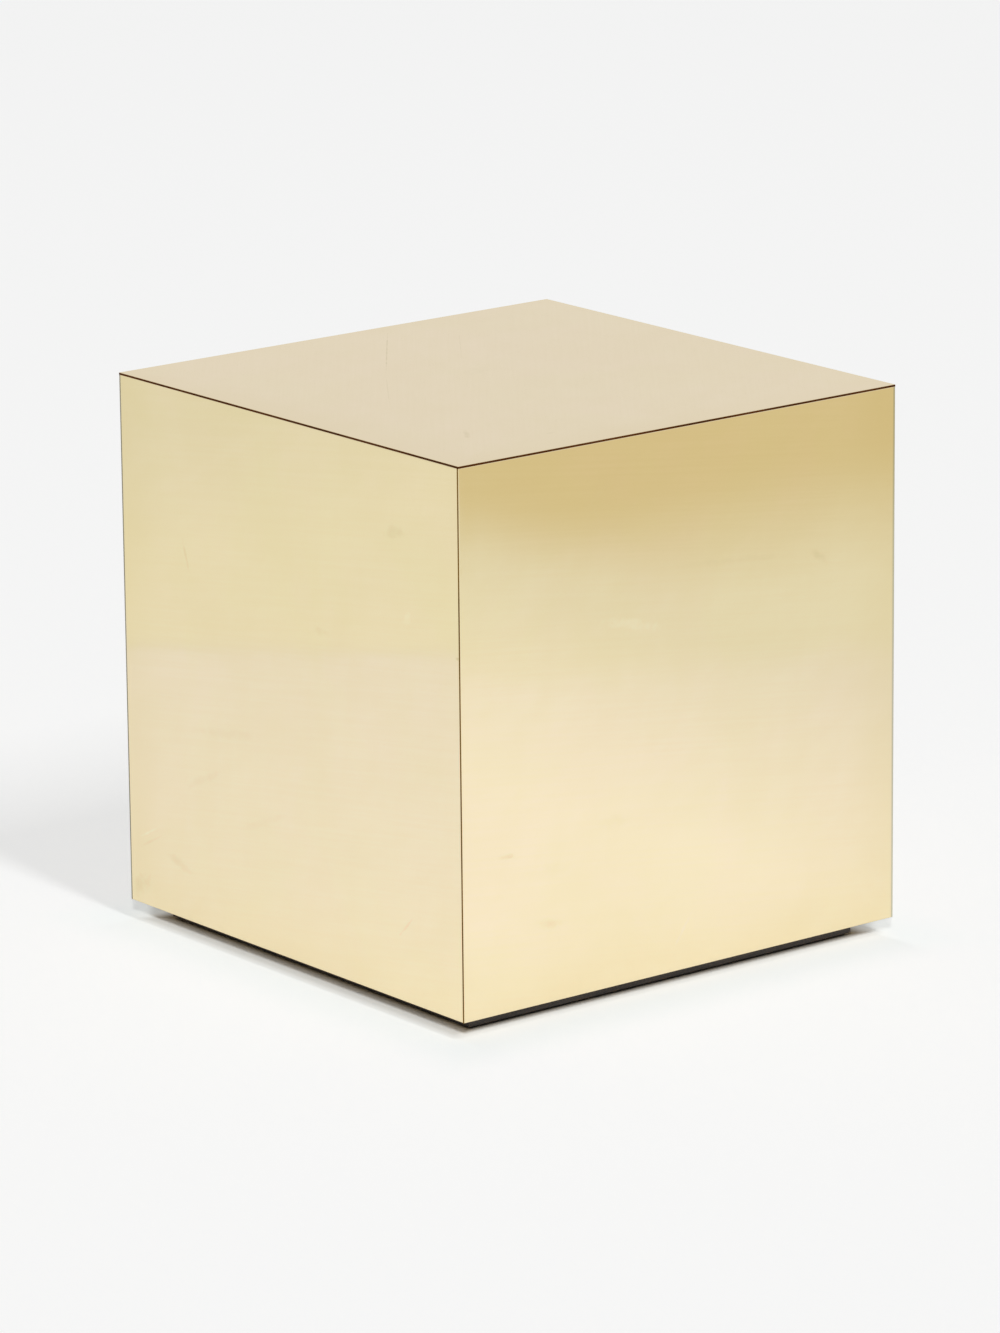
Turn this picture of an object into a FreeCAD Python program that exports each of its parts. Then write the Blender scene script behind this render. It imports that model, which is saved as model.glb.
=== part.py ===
import FreeCAD, Part
import os

import Sketcher
from FreeCAD import Placement, Rotation, Vector

# A cube side table. A fibreboard box is clad on its walls and top with polished brass laminate,
# and stands on a low plinth that is set back from the box on all four sides.
#
# Frame: +Z is up, the floor is Z = 0, and the Z axis runs through the middle of the cube.
# The front faces -Y, the left side faces -X.

DIMENSIONS = {
    "cube_side": 400,          # outside of the brass, in all three directions
    "laminate_thick": 1.6,     # brass sheet and phenolic core together
    "brass_thick": 0.15,       # the brass sheet alone
    "edge_bevel": 0.3,         # filed along the laminate's outer edges
    "board_thick": 18,         # every carcass board
    "plinth_recess": 22,       # from the brass to the plinth's face
    "rail_height": 12.5,
    "rail_width": 40,
    "pad_height": 2,
    "pad_dia": 28,
    "cleat_side": 20,          # square section of the battens above the base panel
    "block_leg": 25,           # equal legs of the three-cornered glue blocks
    "block_length": 320,
    "dowel_dia": 8,
    "dowel_length": 30,
    "dowel_in_face": 12,       # how deep a dowel sits in the board that it enters square on
    "dowel_chamfer": 1,
    "dowel_play": 0.2,         # glue film, on the diameter
    "dowel_end_gap": 1,
    "dowel_pitch": 140,        # up the corners
    "top_dowel_spacing": 220,  # the two dowels in the top of each wall
    "screw_dia": 4,
    "screw_head_dia": 8,
    "screw_tip": 4,
    "recess_span": 4.4,        # the cross in the screw's head
    "recess_slot": 1,
    "recess_depth": 1.4,
    "pilot_dia": 4.1,
    "clearance_dia": 4.5,
    "sink_dia": 8.2,
    "sink_angle": 90,
    "pilot_end_gap": 1,
    "plinth_screw_length": 25,
    "base_screw_length": 35,
    "cleat_screw_length": 30,
    "plinth_screw_pitch": 110,
    "base_screw_pitch": 120,
    "cleat_screw_spacing": 150,
}

# Sizes that follow from the driving ones, as expressions for the document.
CORE_THICK = "(dims.laminate_thick - dims.brass_thick)"
CARCASS = "(dims.cube_side - 2 * dims.laminate_thick)"
INNER = f"({CARCASS} - 2 * dims.board_thick)"
WALL_HEIGHT = "(dims.cube_side - dims.laminate_thick - dims.board_thick)"
SHEET_HEIGHT = "(dims.cube_side - dims.laminate_thick)"
FOOTPRINT = "(dims.cube_side - 2 * dims.plinth_recess)"
CORE_BEVEL = "(dims.edge_bevel - dims.brass_thick)"
SINK_DEPTH = "((dims.screw_head_dia - dims.screw_dia) / 2)"
DOWEL_HOLE = "(dims.dowel_dia + dims.dowel_play)"
DOWEL_HOLE_IN_FACE = "(dims.dowel_in_face + dims.dowel_end_gap)"
DOWEL_HOLE_IN_EDGE = "(dims.dowel_length - dims.dowel_in_face + dims.dowel_end_gap)"

# Heights above the floor.
BOX_BOTTOM = "(dims.pad_height + dims.rail_height)"
BASE_TOP = f"({BOX_BOTTOM} + dims.board_thick)"
CLEAT_TOP = f"({BASE_TOP} + dims.cleat_side)"
WALL_TOP = f"({BOX_BOTTOM} + {WALL_HEIGHT})"
BOX_TOP = f"({BOX_BOTTOM} + dims.cube_side)"

# Distances from the Z axis to the middle line of what runs round the four sides.
WALL_MIDDLE = f"(({CARCASS} - dims.board_thick) / 2)"
CLEAT_MIDDLE = f"(({INNER} - dims.cleat_side) / 2)"
RAIL_MIDDLE = f"(({FOOTPRINT} - dims.rail_width) / 2)"

# Each side: its turn about Z from the front, and the way that it faces.
SIDES = {
    "front": (0, (0, -1)),
    "right": (90, (1, 0)),
    "back": (180, (0, 1)),
    "left": (270, (-1, 0)),
}
# Each upright corner, in the same order round the box: the signs of its X and Y, and its turn.
CORNERS = {
    "front_left": (-1, -1, 0),
    "front_right": (1, -1, 90),
    "back_right": (1, 1, 180),
    "back_left": (-1, 1, 270),
}
X_AXIS = Vector(1, 0, 0)
Z_AXIS = Vector(0, 0, 1)
TRIPLE = (-1, 0, 1)
PAIR = (-1, 1)
TOUCHING = 1e-6

doc = FreeCAD.newDocument("brass_cube")
sheet = doc.addObject("Spreadsheet::Sheet", "dims")
for row, (alias, size) in enumerate(DIMENSIONS.items(), start=1):
    sheet.set(f"A{row}", alias)
    sheet.set(f"B{row}", str(size))
    sheet.setAlias(f"B{row}", alias)
doc.recompute()

pieces = []


def value(expression):
    return float(sheet.evalExpression(expression))


# ---- sketches ----------------------------------------------------------------------------------

def origin_item(body, role):
    return next(item for item in body.Origin.OriginFeatures if item.Role == role)


def sketch_on(body, name, role, offset=("0", "0", "0")):
    """A sketch on one of the body's own origin planes, moved by offset in the sketch's own axes."""
    sketch = body.newObject("Sketcher::SketchObject", name)
    sketch.AttachmentSupport = [(origin_item(body, role), "")]
    sketch.MapMode = "FlatFace"
    for letter, expression in zip("xyz", offset):
        sketch.setExpression(f"AttachmentOffset.Base.{letter}", expression)
    return sketch


def fix_point(sketch, geometry, point, x, y):
    """Tie a point of the sketch to its two coordinates, each an expression."""
    for kind, expression, axis in (("DistanceX", x, -2), ("DistanceY", y, -1)):
        if expression == "0":
            sketch.addConstraint(Sketcher.Constraint("PointOnObject", geometry, point, axis))
        else:
            distance = value(expression)
            index = sketch.addConstraint(
                Sketcher.Constraint(kind, -1, 1, geometry, point, distance))
            sketch.setExpression(f"Constraints[{index}]", expression)


def polygon(sketch, corners):
    points = [Vector(value(x), value(y), 0) for x, y in corners]
    count = len(points)
    for index, point in enumerate(points):
        sketch.addGeometry(Part.LineSegment(point, points[(index + 1) % count]), False)
    for index in range(count):
        following = (index + 1) % count
        sketch.addConstraint(Sketcher.Constraint("Coincident", index, 2, following, 1))
    for index, (x, y) in enumerate(corners):
        fix_point(sketch, index, 1, x, y)


def rectangle(sketch, width, height, centred=True):
    """A rectangle about the sketch's vertical axis, standing on its horizontal one or centred."""
    low = f"-{height} / 2" if centred else "0"
    high = f"{height} / 2" if centred else height
    left = f"-{width} / 2"
    right = f"{width} / 2"
    polygon(sketch, [(left, low), (right, low), (right, high), (left, high)])


def circles(sketch, centres, diameter):
    for x, y in centres:
        centre = Vector(value(x), value(y), 0)
        index = sketch.addGeometry(Part.Circle(centre, Z_AXIS, value(diameter) / 2), False)
        fix_point(sketch, index, 3, x, y)
        size = sketch.addConstraint(Sketcher.Constraint("Diameter", index, value(diameter)))
        sketch.setExpression(f"Constraints[{size}]", diameter)


# ---- features ----------------------------------------------------------------------------------

def new_body(label):
    body = doc.addObject("PartDesign::Body", label)
    pieces.append(body)
    return body


def feature(body, kind, name, profile, **sizes):
    """A sketch-based feature whose sizes are expressions."""
    made = body.newObject(f"PartDesign::{kind}", name)
    made.Profile = profile
    for size, expression in sizes.items():
        made.setExpression(size, expression)
    return made


def board(label, width, height, thickness, centred=True):
    body = new_body(label)
    outline = sketch_on(body, "outline", "XY_Plane")
    rectangle(outline, width, height, centred)
    feature(body, "Pad", "board", outline, Length=thickness)
    return body


def drill(body, name, role, centres, diameter, depth, offset="0", reverse=False):
    """Flat-bottomed round holes. Reversed, they run the way that the sketch's plane faces."""
    spots = sketch_on(body, f"{name}_spots", role, ("0", "0", offset))
    circles(spots, centres, diameter)
    holes = feature(body, "Pocket", name, spots, Length=depth)
    holes.Reversed = reverse


def sink_holes(body, name, centres):
    """Countersunk clearance holes from the face at Z = 0 right through the board."""
    doc.recompute()
    spots = sketch_on(body, f"{name}_spots", "XY_Plane")
    circles(spots, centres, "dims.clearance_dia")
    doc.recompute()
    holes = feature(body, "Hole", name, spots)
    holes.Reversed = True
    holes.DepthType = "ThroughAll"
    holes.HoleCutType = "Countersink"
    holes.setExpression("Diameter", "dims.clearance_dia")
    holes.setExpression("HoleCutDiameter", "dims.sink_dia")
    holes.setExpression("HoleCutCountersinkAngle", "dims.sink_angle")


def repeat(body, originals, *transformations):
    """Copies of the originals, one transformation after the other. Each is its kind and sizes."""
    pattern = body.newObject("PartDesign::MultiTransform", "copies")
    steps = []
    for kind, role, sizes in transformations:
        step = body.newObject(f"PartDesign::{kind}", kind.lower())
        reference = (origin_item(body, role), [""])
        if kind == "LinearPattern":
            step.Direction = reference
        elif kind == "PolarPattern":
            step.Axis = reference
        else:
            step.MirrorPlane = reference
        for size, amount in sizes.items():
            if isinstance(amount, str):
                step.setExpression(size, amount)
            else:
                setattr(step, size, amount)
        steps.append(step)
    pattern.Originals = originals
    pattern.Transformations = steps
    body.Tip = pattern


ROUND_FOUR_SIDES = ("PolarPattern", "Z_Axis", {"Angle": 360, "Occurrences": 4})


# ---- places ------------------------------------------------------------------------------------

def place(piece, rotation, x, y, z):
    piece.Placement = Placement(Vector(), rotation)
    for letter, expression in zip("xyz", (x, y, z)):
        piece.setExpression(f"Placement.Base.{letter}", expression)


def stand_on_side(piece, side, distance, height):
    """Stand up a board drawn flat: its X runs along the side, its Y up and its Z outwards."""
    turn, (facing_x, facing_y) = SIDES[side]
    rotation = Rotation(Z_AXIS, turn) * Rotation(X_AXIS, 90)
    place(piece, rotation, f"{facing_x} * {distance}", f"{facing_y} * {distance}", height)


def runs_through(side):
    """The left and right boards run the full depth, and the front and back fit between them."""
    return side in ("left", "right")


def row_of_spots(shifts, pitch, across):
    """Spots in a row, at multiples of a pitch."""
    return [(f"{shift} * {pitch}", across) for shift in shifts]


def round_four_sides(shifts, pitch, distance):
    """The same row of spots on each of the four sides of a square."""
    spots = []
    for shift in shifts:
        for sign in PAIR:
            spots.append((f"{shift} * {pitch}", f"{sign} * {distance}"))
            spots.append((f"{sign} * {distance}", f"{shift} * {pitch}"))
    return spots


# ---- carcass -----------------------------------------------------------------------------------

def wall_panel(side):
    width = CARCASS if runs_through(side) else INNER
    body = board(f"{side}_panel", width, WALL_HEIGHT, "dims.board_thick", centred=False)
    levels = [f"({WALL_HEIGHT} / 2 + {shift} * dims.dowel_pitch)" for shift in TRIPLE]
    mid_board = "dims.board_thick / 2"
    if runs_through(side):
        spots = [(f"{sign} * {WALL_MIDDLE}", level) for sign in PAIR for level in levels]
        drill(body, "corner_dowel_holes", "XY_Plane", spots, DOWEL_HOLE, DOWEL_HOLE_IN_FACE,
              reverse=True)
    else:
        spots = [(level, mid_board) for level in levels]
        for sign in PAIR:
            drill(body, "corner_dowel_holes", "YZ_Plane", spots, DOWEL_HOLE, DOWEL_HOLE_IN_EDGE,
                  offset=f"{sign} * {INNER} / 2", reverse=sign < 0)
    drill(body, "top_dowel_holes", "XZ_Plane",
          row_of_spots(PAIR, "dims.top_dowel_spacing / 2", mid_board), DOWEL_HOLE, DOWEL_HOLE_IN_EDGE,
          offset=f"-{WALL_HEIGHT}", reverse=True)
    drill(body, "cleat_pilot_holes", "XY_Plane",
          row_of_spots(PAIR, "dims.cleat_screw_spacing / 2", "(dims.board_thick + dims.cleat_side / 2)"),
          "dims.pilot_dia", "dims.cleat_screw_length - dims.cleat_side + dims.pilot_end_gap",
          reverse=True)
    stand_on_side(body, side, f"{INNER} / 2", BOX_BOTTOM)


def top_panel():
    body = board("top_panel", CARCASS, CARCASS, "dims.board_thick")
    drill(body, "top_dowel_holes", "XY_Plane",
          round_four_sides(PAIR, "dims.top_dowel_spacing / 2", WALL_MIDDLE), DOWEL_HOLE,
          DOWEL_HOLE_IN_FACE, reverse=True)
    place(body, Rotation(), "0", "0", WALL_TOP)


def base_panel():
    body = board("base_panel", INNER, INNER, "dims.board_thick")
    drill(body, "plinth_pilot_holes", "XY_Plane",
          round_four_sides(TRIPLE, "dims.plinth_screw_pitch", RAIL_MIDDLE), "dims.pilot_dia",
          "dims.plinth_screw_length - dims.rail_height + dims.pilot_end_gap", reverse=True)
    sink_holes(body, "base_screw_holes",
               round_four_sides(TRIPLE, "dims.base_screw_pitch", CLEAT_MIDDLE))
    place(body, Rotation(), "0", "0", BOX_BOTTOM)


def base_cleat(side):
    """A batten screwed to its wall, which the base panel is screwed up against."""
    length = f"({INNER} - 2 * dims.cleat_side)" if runs_through(side) else INNER
    mid_cleat = "dims.cleat_side / 2"
    body = board(f"{side}_base_cleat", length, "dims.cleat_side", "dims.cleat_side",
                 centred=False)
    drill(body, "base_pilot_holes", "XZ_Plane",
          row_of_spots(TRIPLE, "dims.base_screw_pitch", mid_cleat), "dims.pilot_dia",
          "dims.base_screw_length - dims.board_thick + dims.pilot_end_gap")
    sink_holes(body, "cleat_screw_holes",
               row_of_spots(PAIR, "dims.cleat_screw_spacing / 2", mid_cleat))
    stand_on_side(body, side, f"({INNER} / 2 - dims.cleat_side)", BASE_TOP)


def corner_block(corner):
    """A three-cornered block glued into an upright corner, midway between cleats and top."""
    sign_x, sign_y, turn = CORNERS[corner]
    body = new_body(f"{corner}_corner_block")
    section = sketch_on(body, "section", "XY_Plane")
    polygon(section, [("0", "0"), ("dims.block_leg", "0"), ("0", "dims.block_leg")])
    feature(body, "Pad", "block", section, Length="dims.block_length")
    place(body, Rotation(Z_AXIS, turn), f"{sign_x} * {INNER} / 2", f"{sign_y} * {INNER} / 2",
          f"({CLEAT_TOP} + {WALL_TOP} - dims.block_length) / 2")


# ---- dowels and screws -------------------------------------------------------------------------

def dowel_profile(along_first):
    """Half of a dowel with chamfered ends, drawn along the sketch's first or second axis."""
    half = "dims.dowel_length / 2"
    radius = "dims.dowel_dia / 2"
    chamfer = "dims.dowel_chamfer"
    outline = [(f"-{half}", "0"), (f"-{half}", f"{radius} - {chamfer}"),
               (f"-{half} + {chamfer}", radius), (f"{half} - {chamfer}", radius),
               (half, f"{radius} - {chamfer}"), (half, "0")]
    if along_first:
        return outline
    return [(across, length) for length, across in outline]


def corner_dowels():
    body = new_body("corner_dowels")
    lowest = f"({BOX_BOTTOM} + {WALL_HEIGHT} / 2 - dims.dowel_pitch)"
    middle = f"({INNER} / 2 + dims.dowel_in_face - dims.dowel_length / 2)"
    profile = sketch_on(body, "profile", "XZ_Plane", (f"-{middle}", lowest, WALL_MIDDLE))
    polygon(profile, dowel_profile(along_first=True))
    dowel = feature(body, "Revolution", "dowel", profile)
    dowel.ReferenceAxis = (profile, ["H_Axis"])
    repeat(body, [dowel],
           ("LinearPattern", "Z_Axis", {"Length": "2 * dims.dowel_pitch", "Occurrences": 3}),
           ("Mirrored", "YZ_Plane", {}), ("Mirrored", "XZ_Plane", {}))


def top_dowels():
    body = new_body("top_dowels")
    middle = f"({WALL_TOP} + dims.dowel_in_face - dims.dowel_length / 2)"
    profile = sketch_on(body, "profile", "XZ_Plane",
                        ("-dims.top_dowel_spacing / 2", middle, WALL_MIDDLE))
    polygon(profile, dowel_profile(along_first=False))
    dowel = feature(body, "Revolution", "dowel", profile)
    dowel.ReferenceAxis = (profile, ["V_Axis"])
    repeat(body, [dowel],
           ("LinearPattern", "X_Axis", {"Length": "dims.top_dowel_spacing", "Occurrences": 2}),
           ROUND_FOUR_SIDES)


def screw_profile(length, upright):
    """Half of a countersunk screw, head at the origin, drawn upwards or towards the left."""
    head = "dims.screw_head_dia / 2"
    shank = "dims.screw_dia / 2"
    outline = [("0", "0"), ("0", head), (SINK_DEPTH, shank),
               (f"{length} - dims.screw_tip", shank), (length, "0")]
    if upright:
        return [(across, distance) for distance, across in outline]
    return [("0" if distance == "0" else f"-({distance})", across)
            for distance, across in outline]


def cross_recess(sketch):
    long = "dims.recess_span / 2"
    short = "dims.recess_slot / 2"
    quarter = [(long, short), (short, short), (short, long)]
    outline = []
    for _ in range(4):
        outline += quarter
        quarter = [(f"-({y})", x) for x, y in quarter]
    polygon(sketch, outline)


def screws(label, length, distance, height, count, span, upright):
    """A row of screws on each of the four sides, pointing up or out through the walls."""
    body = new_body(label)
    start = f"-({span}) / 2"
    if upright:
        profile = sketch_on(body, "profile", "XZ_Plane", (start, height, distance))
        recess = sketch_on(body, "recess", "XY_Plane", (start, f"-{distance}", height))
    else:
        profile = sketch_on(body, "profile", "YZ_Plane", (f"-{distance}", height, start))
        recess = sketch_on(body, "recess", "XZ_Plane", (start, height, distance))
    polygon(profile, screw_profile(length, upright))
    cross_recess(recess)
    screw = feature(body, "Revolution", "screw", profile)
    screw.ReferenceAxis = (profile, ["V_Axis" if upright else "H_Axis"])
    socket = feature(body, "Pocket", "socket", recess, Length="dims.recess_depth")
    socket.Reversed = True
    repeat(body, [screw, socket],
           ("LinearPattern", "X_Axis", {"Length": span, "Occurrences": count}),
           ROUND_FOUR_SIDES)


# ---- laminate ----------------------------------------------------------------------------------

def bevel_outer_edges(body, open_sides):
    """Bevel the core's outer face along the named sides of its outline."""
    doc.recompute()
    base = body.Tip
    face_level = value(CORE_THICK)
    box = base.Shape.BoundBox
    limits = {"left": ("x", box.XMin), "right": ("x", box.XMax),
              "low": ("y", box.YMin), "high": ("y", box.YMax)}
    names = []
    for number, edge in enumerate(base.Shape.Edges, start=1):
        middle = edge.CenterOfMass
        if abs(middle.z - face_level) > TOUCHING:
            continue
        for open_side in open_sides:
            letter, limit = limits[open_side]
            if abs(getattr(middle, letter) - limit) < TOUCHING:
                names.append(f"Edge{number}")
    bevel = body.newObject("PartDesign::Chamfer", "bevel")
    bevel.Base = (base, names)
    bevel.setExpression("Size", CORE_BEVEL)


def wall_sheet_width(side):
    """The front and back sheets cover the edges of the left and right ones."""
    return CARCASS if runs_through(side) else "dims.cube_side"


def wall_laminate_core(side):
    body = board(f"{side}_laminate_core", wall_sheet_width(side), SHEET_HEIGHT, CORE_THICK,
                 centred=False)
    bevel_outer_edges(body, ["low"] if runs_through(side) else ["low", "left", "right"])
    stand_on_side(body, side, f"{CARCASS} / 2", BOX_BOTTOM)


def top_laminate_core():
    body = board("top_laminate_core", "dims.cube_side", "dims.cube_side", CORE_THICK)
    bevel_outer_edges(body, ["low", "high", "left", "right"])
    place(body, Rotation(), "0", "0", f"({BOX_TOP} - dims.laminate_thick)")


def brass_sheet(label, **sizes):
    """A sheet whose bevelled edges make its outer face a little smaller than its back."""
    sheet_piece = doc.addObject("Part::Wedge", label)
    sheet_piece.setExpression("Ymin", "0")
    sheet_piece.setExpression("Ymax", "dims.brass_thick")
    for size, expression in sizes.items():
        sheet_piece.setExpression(size, expression)
    pieces.append(sheet_piece)
    return sheet_piece


def wall_brass_face(side):
    half = f"{wall_sheet_width(side)} / 2"
    back_inset = "0" if runs_through(side) else CORE_BEVEL
    face_inset = "0" if runs_through(side) else "dims.edge_bevel"
    face = brass_sheet(
        f"{side}_brass_face",
        Xmin=f"{back_inset} - {half}", Xmax=f"{half} - {back_inset}",
        X2min=f"{face_inset} - {half}", X2max=f"{half} - {face_inset}",
        Zmin=CORE_BEVEL, Z2min="dims.edge_bevel", Zmax=SHEET_HEIGHT, Z2max=SHEET_HEIGHT)
    turn, (facing_x, facing_y) = SIDES[side]
    distance = "(dims.cube_side / 2 - dims.brass_thick)"
    place(face, Rotation(Z_AXIS, turn + 180), f"{facing_x} * {distance}",
          f"{facing_y} * {distance}", BOX_BOTTOM)


def top_brass_face():
    half = "dims.cube_side / 2"
    low = f"{CORE_BEVEL} - {half}"
    high = f"{half} - {CORE_BEVEL}"
    face_low = f"dims.edge_bevel - {half}"
    face_high = f"{half} - dims.edge_bevel"
    face = brass_sheet("top_brass_face", Xmin=low, Zmin=low, Xmax=high, Zmax=high,
                       X2min=face_low, Z2min=face_low, X2max=face_high, Z2max=face_high)
    place(face, Rotation(X_AXIS, 90), "0", "0", f"({BOX_TOP} - dims.brass_thick)")


# ---- plinth ------------------------------------------------------------------------------------

def plinth_rail(side):
    """The front and back rails run the full width, and the side rails fit between them."""
    length = f"({FOOTPRINT} - 2 * dims.rail_width)" if runs_through(side) else FOOTPRINT
    body = board(f"{side}_plinth_rail", length, "dims.rail_width", "dims.rail_height")
    sink_holes(body, "plinth_screw_holes", row_of_spots(TRIPLE, "dims.plinth_screw_pitch", "0"))
    turn, (facing_x, facing_y) = SIDES[side]
    place(body, Rotation(Z_AXIS, turn), f"{facing_x} * {RAIL_MIDDLE}",
          f"{facing_y} * {RAIL_MIDDLE}", "dims.pad_height")


def floor_pad(corner):
    sign_x, sign_y, _ = CORNERS[corner]
    pad = doc.addObject("Part::Cylinder", f"{corner}_pad")
    pad.setExpression("Radius", "dims.pad_dia / 2")
    pad.setExpression("Height", "dims.pad_height")
    pieces.append(pad)
    place(pad, Rotation(), f"{sign_x} * {RAIL_MIDDLE}", f"{sign_y} * {RAIL_MIDDLE}", "0")


# ---- the whole table ---------------------------------------------------------------------------

for side in SIDES:
    wall_panel(side)
    wall_laminate_core(side)
    wall_brass_face(side)
    base_cleat(side)
    plinth_rail(side)
for corner in CORNERS:
    corner_block(corner)
    floor_pad(corner)
top_panel()
top_laminate_core()
top_brass_face()
base_panel()
corner_dowels()
top_dowels()
screws("plinth_screws", "dims.plinth_screw_length", RAIL_MIDDLE, "dims.pad_height",
       count=3, span="2 * dims.plinth_screw_pitch", upright=True)
screws("base_screws", "dims.base_screw_length", CLEAT_MIDDLE, BOX_BOTTOM,
       count=3, span="2 * dims.base_screw_pitch", upright=True)
screws("cleat_screws", "dims.cleat_screw_length", f"({INNER} / 2 - dims.cleat_side)",
       f"({BASE_TOP} + dims.cleat_side / 2)", count=2, span="dims.cleat_screw_spacing",
       upright=False)
doc.recompute()


# ---- checks and files --------------------------------------------------------------------------

def check_document():
    for item in doc.Objects:
        for state in ("Invalid", "Error"):
            if state in item.State:
                raise RuntimeError(f"{item.Name} is {item.State}")
        if item.TypeId in ("PartDesign::Pocket", "PartDesign::Hole", "PartDesign::Chamfer"):
            if item.Shape.Volume >= item.BaseFeature.Shape.Volume:
                raise RuntimeError(f"{item.Name} cuts nothing")


def check_piece(piece):
    if piece.Shape.isNull() or not piece.Shape.isValid():
        raise RuntimeError(f"{piece.Label} has no valid shape")
    print(f"{piece.Label}: {len(piece.Shape.Solids)} solid(s), {piece.Shape.Volume:.1f} mm3")


check_document()
for piece in pieces:
    check_piece(piece)
os.makedirs("parts", exist_ok=True)
for piece in pieces:
    piece.Shape.exportStep(f"parts/{piece.Label}.step")
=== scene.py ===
"""Looks of the mirror brass cube table: brass sheets, laminate cores, carcass and pale studio."""

import math

import bmesh
import bpy
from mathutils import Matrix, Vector, noise


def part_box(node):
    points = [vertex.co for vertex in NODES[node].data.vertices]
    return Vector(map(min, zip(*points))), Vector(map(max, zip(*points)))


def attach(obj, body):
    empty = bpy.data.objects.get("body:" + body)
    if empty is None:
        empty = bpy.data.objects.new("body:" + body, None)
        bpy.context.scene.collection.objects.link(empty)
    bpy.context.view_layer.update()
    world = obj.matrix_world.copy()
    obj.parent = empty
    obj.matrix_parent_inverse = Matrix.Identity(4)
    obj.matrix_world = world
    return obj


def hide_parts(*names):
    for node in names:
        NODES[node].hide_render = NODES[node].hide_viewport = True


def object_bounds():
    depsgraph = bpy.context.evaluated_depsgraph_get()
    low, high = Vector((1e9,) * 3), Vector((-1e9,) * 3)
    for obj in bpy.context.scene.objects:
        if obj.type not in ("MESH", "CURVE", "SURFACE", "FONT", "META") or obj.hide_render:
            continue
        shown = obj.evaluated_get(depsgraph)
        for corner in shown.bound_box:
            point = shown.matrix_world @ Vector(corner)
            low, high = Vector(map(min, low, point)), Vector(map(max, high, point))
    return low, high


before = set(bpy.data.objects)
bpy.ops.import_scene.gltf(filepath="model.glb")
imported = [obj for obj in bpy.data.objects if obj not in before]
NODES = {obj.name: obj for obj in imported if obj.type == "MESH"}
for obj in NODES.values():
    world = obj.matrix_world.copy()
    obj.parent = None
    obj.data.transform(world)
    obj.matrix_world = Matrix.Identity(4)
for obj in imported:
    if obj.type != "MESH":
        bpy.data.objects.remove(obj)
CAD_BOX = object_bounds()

MM = 0.001
SIDES = ("front", "right", "back", "left")
CORNERS = ("front_left", "front_right", "back_right", "back_left")

BOX_LOW, BOX_HIGH = CAD_BOX
TOP_Z = BOX_HIGH.z
HALF = BOX_HIGH.x
BODY_LOW_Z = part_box("base_panel")[0].z
CUBE_SIDE = 2 * HALF


# ---------------------------------------------------------------- node trees


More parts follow.
